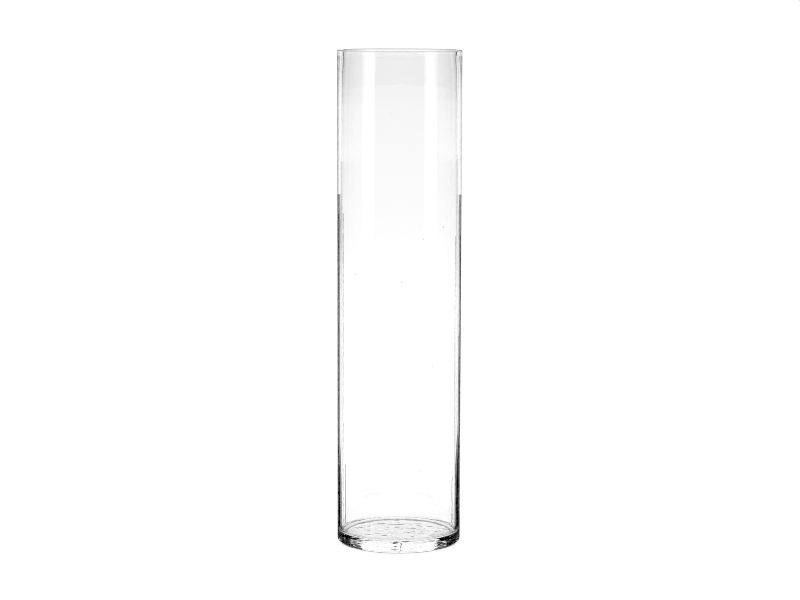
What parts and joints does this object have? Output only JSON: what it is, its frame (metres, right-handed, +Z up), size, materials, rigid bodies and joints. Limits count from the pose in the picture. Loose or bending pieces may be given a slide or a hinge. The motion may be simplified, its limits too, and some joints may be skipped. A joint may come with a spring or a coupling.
{
  "type": "glass cylinder vase",
  "caption": "Tall straight clear glass cylinder vase with a heavy rounded base, a hollow foot and a flat cut rim, for standing stems in water.",
  "frame": {"origin": "on the vase's axis, on the surface that the standing ring rests on", "axes": "+Z up along the vase's axis, out of the mouth; the vase is round, so +X and +Y have no special direction"},
  "size_m": [0.1, 0.1, 0.4],
  "materials": {
    "clear_glass": "clear, fire polished, faintly wavy"
  },
  "bodies": {
    "root": {"base": "clear_glass", "side_wall": "clear_glass", "rim": "clear_glass"}
  },
  "joints": []
}
